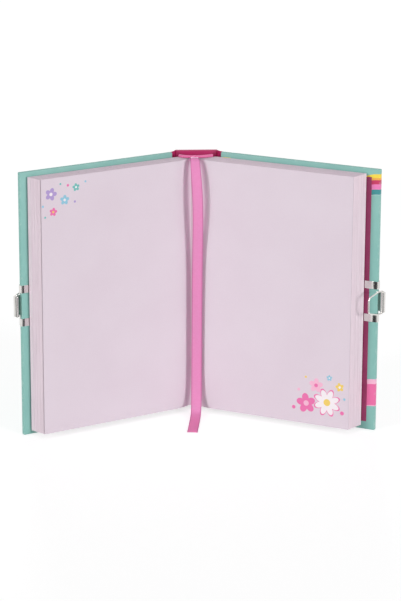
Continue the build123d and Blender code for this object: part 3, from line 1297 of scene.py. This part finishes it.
@dataclass
class BackLining:
    """The lining and the two bands that follow the arched back of the leaves."""

    front: LeafPlan
    back: LeafPlan
    page_foot: float = 3.0 * MM
    page_head: float = 177.0 * MM
    lining: float = 0.5 * MM
    lining_clearance: float = 0.25 * MM
    lining_short: float = 0.4 * MM
    lining_fill: float = 0.8
    lining_rows: int = 8
    band_span: tuple[float, float] = (0.09, 0.91)
    head_band: tuple[float, float, float] = (1.8 * MM, 1.9 * MM, 0.0)
    tail_band: tuple[float, float, float] = (0.8 * MM, 0.4 * MM, 0.8 * MM)
    band_lift: float = 0.1 * MM
    band_roundness: float = 0.75
    band_sides: int = 16
    closed_y: float = -1.9 * MM
    closed_share: float = 0.05
    steps: int = 48

    def arch(self, share: float, offset: float) -> Vector:
        """A point along the arch from the front's last leaf to the back's.

        Args:
            share: 0 at the front cover's end, 1 at the back cover's.
            offset: Distance behind the leaves.

        Returns:
            The point at the height of the floor.
        """
        if share <= 0.5:
            return self.front.on_arch(share * 2, offset)
        return self.back.on_arch((1 - share) * 2, offset)

    def length(self) -> float:
        """Length of the arch from end to end."""
        arcs = (line.arch_radius * line.arch_angle for line in (self.front, self.back))
        return sum(arcs) + abs(self.front.gutter.x - self.back.gutter.x)

    def crumple(self, piece: bpy.types.Object) -> None:
        """Gives a piece its own copy of its mesh."""
        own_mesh(piece)

    def build(self) -> None:
        """Models the lining and the head and tail bands."""
        foot = self.page_foot + self.lining_short
        height = self.page_head - self.page_foot - 2 * self.lining_short
        middle = self.lining_clearance + self.lining / 2
        length = self.length()

        def place(a: float, b: float) -> Vector:
            """A point of the lining."""
            return self.arch(a, middle) + UP * (foot + height * b)

        counts = (self.steps, self.lining_rows)
        lining = formed_grid("mull_lining", counts, place, lambda a, b: (a * length, b * height))
        thicken(lining, self.lining * self.lining_fill, 50.0)
        dress(lining, Mull("mull"))
        settle(lining, "spine", "lining", "spine_lining")
        self.crumple(lining)
        self.build_band("head", self.page_head + self.band_lift, self.head_band)
        self.build_band("tail", self.page_foot - self.band_lift - self.tail_band[1], self.tail_band)

    def build_band(self, word: str, foot: float, section: tuple[float, float, float]) -> None:
        """Models a band as a rounded bead along the arch.

        Args:
            word: Which end of the spine the band is at.
            foot: Height of the band's underside.
            section: Depth and height of the band, and how far it is set back.
        """
        length = self.length()
        band_depth, height, setback = section
        middle = self.lining_clearance + self.lining - band_depth / 2 + setback
        low, high = self.band_span

        def place(a: float, b: float) -> Vector:
            """A point on the bead's skin."""
            turn = 2 * math.pi * b
            circle = (math.cos(turn), math.sin(turn))
            flat = [math.copysign(abs(s) ** self.band_roundness, s) for s in circle]
            offset = middle + flat[0] * band_depth / 2
            return self.arch(low + (high - low) * a, offset) + UP * (foot + height / 2 * (1 + flat[1]))

        around = 2 * (band_depth + height)
        counts = (self.steps, self.band_sides)
        bead = formed_grid(f"{word}_band_bead", counts, place, lambda a, b: (a * length, b * around))
        edit(bead, merge_points, lambda: bpy.ops.mesh.fill_holes(sides=0), face_outwards)
        smooth(bead, 50.0)
        dress(bead, BandThread("band thread"))
        settle(bead, "spine", "band", f"{word}_band")
        self.crumple(bead)


@dataclass
class RibbonMarker:
    """The satin marker, which comes from under the head band and lies out on the table."""

    middle: float = -2.3245 * MM
    width: float = 7.0 * MM
    thickness: float = 0.32 * MM
    crown: float = 0.22 * MM
    gathered: float = 0.78
    gather_length: float = 26.0 * MM
    across_steps: int = 8
    line_steps: int = 14
    closed_x: float = -1.0 * MM
    closed_share: float = 0.03
    route: tuple[tuple[float, float, float], ...] = (
        (0.4, -12.7, 177.8),
        (0.5, -16.8, 179.0),
        (0.9, -21.2, 174.0),
        (2.8, -23.0, 146.0),
        (2.5, -18.8, 110.0),
        (2.3, -18.4, 70.0),
        (2.2, -18.0, 20.0),
        (1.9, -21.8, 3.0),
        (0.6, -35.0, 0.45),
        (-2.6, -60.6, 0.3),
    )

    def path(self) -> list[Vector]:
        """Points along the smooth line of the route, read from its spline."""
        curve = bpy.data.curves.new("ribbon_line", "CURVE")
        curve.dimensions = "3D"
        spline = curve.splines.new("NURBS")
        spline.points.add(len(self.route) - 1)
        for point, (across, depth, height) in zip(spline.points, self.route):
            point.co = (self.middle + across * MM, depth * MM, height * MM, 1.0)
        spline.order_u = 3
        spline.use_endpoint_u = True
        spline.resolution_u = self.line_steps
        holder = bpy.data.objects.new("ribbon_line", curve)
        bpy.context.scene.collection.objects.link(holder)
        bpy.context.view_layer.update()
        line = bpy.data.meshes.new_from_object(holder)
        points = [vertex.co.copy() for vertex in line.vertices]
        bpy.data.objects.remove(holder)
        bpy.data.meshes.remove(line)
        bpy.data.curves.remove(curve)
        return points

    def build(self) -> None:
        points = self.path()
        count = len(points) - 1
        lengths = running_lengths(points)

        def place(a: float, b: float) -> Vector:
            """A point of the ribbon, across its width and along its line."""
            step = round(b * count)
            ahead = (points[min(step + 1, count)] - points[max(step - 1, 0)]).normalized()
            across = Vector((1.0, 0.0, 0.0))
            across = (across - ahead * across.dot(ahead)).normalized()
            normal = ahead.cross(across)
            share = 2 * a - 1
            opened = min(1.0, lengths[step] / self.gather_length)
            half = self.width / 2 * (self.gathered + (1 - self.gathered) * opened * (2 - opened))
            return points[step] + across * (share * half) + normal * (self.crown * (1 - share**2))

        def chart(a: float, b: float) -> tuple[float, float]:
            """Distance from the ribbon's middle and along its line."""
            return (a - 0.5) * self.width, lengths[round(b * count)]

        ribbon = formed_grid("satin_ribbon", (self.across_steps, count), place, chart)
        thicken(ribbon, self.thickness, 50.0)
        dress(ribbon, SatinRibbon("ribbon satin", self.width))
        settle(ribbon, "spine", "ribbon", "ribbon_marker")
        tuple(points[0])
        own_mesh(ribbon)


@dataclass
class LockFitting:
    """The plated clip on a fore-edge and its wire ring."""

    side: Side
    plan: CasePlan
    rounding: float = 0.13 * MM
    clip_sharp: float = 40.0
    ring_sharp: float = 60.0
    level: float = 1.0

    def build(self) -> None:
        """Models the clip and the ring from merged copies of their solids."""
        word = self.side.word
        clip = self.copy_of(f"{word}_lock_clip", f"{word}_plated_clip")
        apply_modifier(
            clip,
            "BEVEL",
            width=self.rounding,
            segments=2,
            limit_method="ANGLE",
            angle_limit=math.radians(self.clip_sharp),
        )
        smooth(clip, self.clip_sharp)
        apply_modifier(clip, "WEIGHTED_NORMAL", weight=100, keep_sharp=True)
        dress(clip, NickelPlate("clip nickel", self.plan))
        settle(clip, f"{word}_cover", "metal", f"{word}_lock_clip")
        ring = self.copy_of(f"{word}_ring", f"{word}_wire_ring")
        smooth(ring, self.ring_sharp)
        dress(ring, RING_NICKEL)
        settle(ring, f"{word}_ring", "metal", f"{word}_ring")

    def copy_of(self, node: str, name: str) -> bpy.types.Object:
        """Copies a CAD node as one merged mesh.

        Args:
            node: Name of the CAD node.
            name: Name of the new piece.

        Returns:
            The merged copy.
        """
        piece = bpy.data.objects.new(name, frame["nodes"][node].data.copy())
        piece.data.name = name
        bpy.context.scene.collection.objects.link(piece)
        level = math.radians(self.level)
        edit(piece, merge_points, lambda: bpy.ops.mesh.dissolve_limited(angle_limit=level))
        return piece


@dataclass
class Studio:
    """Floor, white surroundings, soft lamps and the camera."""

    eye: Vector = field(default_factory=lambda: Vector((-79.7, -1637.3, 565.4)) * MM)
    view: Vector = field(default_factory=lambda: Vector((0.0485, 0.9567, -0.2870)))
    lens: float = 149.75
    sensor: float = 36.0
    nearest: float = 0.05
    roll: float = 0.19
    floor_size: float = 9.0
    floor_bounce: Colour = (0.8, 0.8, 0.8, 1.0)
    floor_shown: Colour = (0.47, 0.47, 0.47, 1.0)
    floor_glow: float = 0.70
    sky: float = 0.43
    lamps: tuple[tuple[str, float, float], ...] = (
        ("left_lamp", -58.0, 1.18),
        ("right_lamp", 45.0, 1.37),
        ("rear_lamp", 180.0, 1.2),
    )
    lamp_rise: float = 12.0
    lamp_spread: float = 14.0
    cards: tuple[tuple[tuple[float, float], tuple[float, float], float], ...] = (
        ((0.02, -0.136), (-0.30, -0.377), 0.045),
        ((-0.014, -0.124), (0.33, -0.332), 0.05),
        ((0.13, -0.24), (0.13, -0.60), 0.12),
        ((-0.13, -0.24), (-0.13, -0.60), 0.12),
    )
    card_height: float = 0.004
    card_colour: Colour = ink(84, 83, 86)

    def build(self) -> None:
        """Sets up the whole stage."""
        bpy.context.scene.view_settings.view_transform = "Standard"
        self.build_floor()
        self.build_sky()
        for name, turn, power in self.lamps:
            self.build_lamp(name, turn, power)
        for number, (*ends, width) in enumerate(self.cards, 1):
            start, end = (Vector((*place, self.card_height)) for place in ends)
            self.build_card(number, start, end, width)
        self.build_camera()

    def seen(self, graph: Graph) -> Value:
        """1 for rays that show the surroundings, straight or in gloss and glass."""
        path = graph.node("ShaderNodeLightPath", {}, {})
        names = ("Is Camera Ray", "Is Glossy Ray", "Is Transmission Ray")
        rays = [Value(graph, path.outputs[name]) for name in names]
        return rays[0].most(rays[1]).most(rays[2])

    def build_floor(self) -> None:
        """Adds the pale floor, which turns to white away from the diary's shadow."""
        bpy.ops.object.select_all(action="DESELECT")
        bpy.ops.mesh.primitive_plane_add(size=self.floor_size)
        floor = just_added("studio_floor")
        graph = Graph("studio floor")
        graph.feed(Base_Color=self.floor_bounce, Roughness=0.9, Specular_IOR_Level=0.0)
        bounced = Value(graph, graph.shader.outputs[0])
        glow = graph.value("ShaderNodeEmission", {}, {"Strength": self.floor_glow})
        matt = graph.value("ShaderNodeBsdfDiffuse", {}, {"Color": self.floor_shown})
        shown = graph.value("ShaderNodeAddShader", {}, {0: glow, 1: matt})
        mixed = graph.value("ShaderNodeMixShader", {}, {0: self.seen(graph), 1: bounced, 2: shown})
        graph.plug(graph.tree.nodes["Material Output"].inputs["Surface"], mixed)
        floor.data.materials.append(graph.material)

    def build_sky(self) -> None:
        """Lights the stage softly from all round and shows white behind it."""
        graph = SkyGraph("studio")
        strength = self.sky + self.seen(graph) * (1 - self.sky)
        graph.feed(Color=(1.0, 1.0, 1.0, 1.0), Strength=strength)

    def build_lamp(self, name: str, turn: float, power: float) -> None:
        """Adds a soft lamp with even light from one direction.

        Args:
            name: Name of the lamp.
            turn: Degrees that it stands round to the right of the diary's open side.
            power: Strength of its light.
        """
        light = bpy.data.lights.new(name, "SUN")
        light.angle = math.radians(self.lamp_spread)
        light.energy = power
        lamp = bpy.data.objects.new(name, light)
        rise = math.radians(self.lamp_rise)
        level = Vector((math.sin(math.radians(turn)), -math.cos(math.radians(turn)), 0.0))
        away = level * math.cos(rise) + UP * math.sin(rise)
        lamp.location = away
        lamp.visible_glossy = level.y < 0
        lamp.rotation_euler = (-away).to_track_quat("-Z", "Y").to_euler()
        bpy.context.scene.collection.objects.link(lamp)

    def build_card(self, number: int, start: Vector, end: Vector, width: float) -> None:
        """Lays a dark card on the floor that only shows in the plating's gloss.

        Args:
            number: The card's number.
            start: Start of its middle line.
            end: End of its middle line.
            width: Width of the card.
        """
        along = end - start
        bpy.ops.object.select_all(action="DESELECT")
        turn = (0.0, 0.0, math.atan2(along.y, along.x))
        bpy.ops.mesh.primitive_plane_add(size=1, location=(start + end) / 2, rotation=turn)
        card = just_added(f"studio_card_{number}")
        card.scale = (along.length, width, 1.0)
        graph = Graph(f"studio card {number}")
        graph.feed(Base_Color=self.card_colour, Roughness=0.9, Specular_IOR_Level=0.0)
        card.data.materials.append(graph.material)
        for rays in ("camera", "diffuse", "shadow", "transmission", "volume_scatter"):
            setattr(card, f"visible_{rays}", False)

    def build_camera(self) -> None:
        """Adds the camera at the photograph's viewing angle."""
        optics = bpy.data.cameras.new("camera")
        optics.lens = self.lens
        optics.sensor_width = self.sensor
        optics.clip_start = self.nearest
        camera = bpy.data.objects.new("camera", optics)
        turn = self.view.to_track_quat("-Z", "Y").to_matrix().to_4x4()
        roll = Matrix.Rotation(math.radians(self.roll), 4, "Z")
        camera.matrix_world = Matrix.Translation(self.eye) @ turn @ roll
        bpy.context.scene.collection.objects.link(camera)
        bpy.context.scene.camera = camera


def main() -> None:
    """Builds the stage and every piece of the diary."""
    logging.basicConfig(level=logging.INFO)
    Studio().build()
    plan = CasePlan()
    front = LeafPlan(Side.FRONT, plan, thickness=11.5 * MM, slip=3.0 * MM)
    back = LeafPlan(Side.BACK, plan, thickness=13.5 * MM, slip=0.0)
    gutter_y = max(front.crossing.y, back.crossing.y) + front.gutter_dive
    for lines in (front, back):
        lines.shape_back(gutter_y)
    RibbonMarker().build()
    for side in Side:
        Cover(side, plan).build()
        LockFitting(side, plan).build()
    Spine(plan).build()
    chance = random.Random(11)
    LeafHalf(front, (1, 2, 3, 4), PagePrint.SPRAY, lift=0.45 * MM).build(chance)
    LeafHalf(back, (9, 8, 7, 6, 5), PagePrint.POSY).build(chance)
    BackLining(front, back).build()


if __name__ == "__main__":
    main()
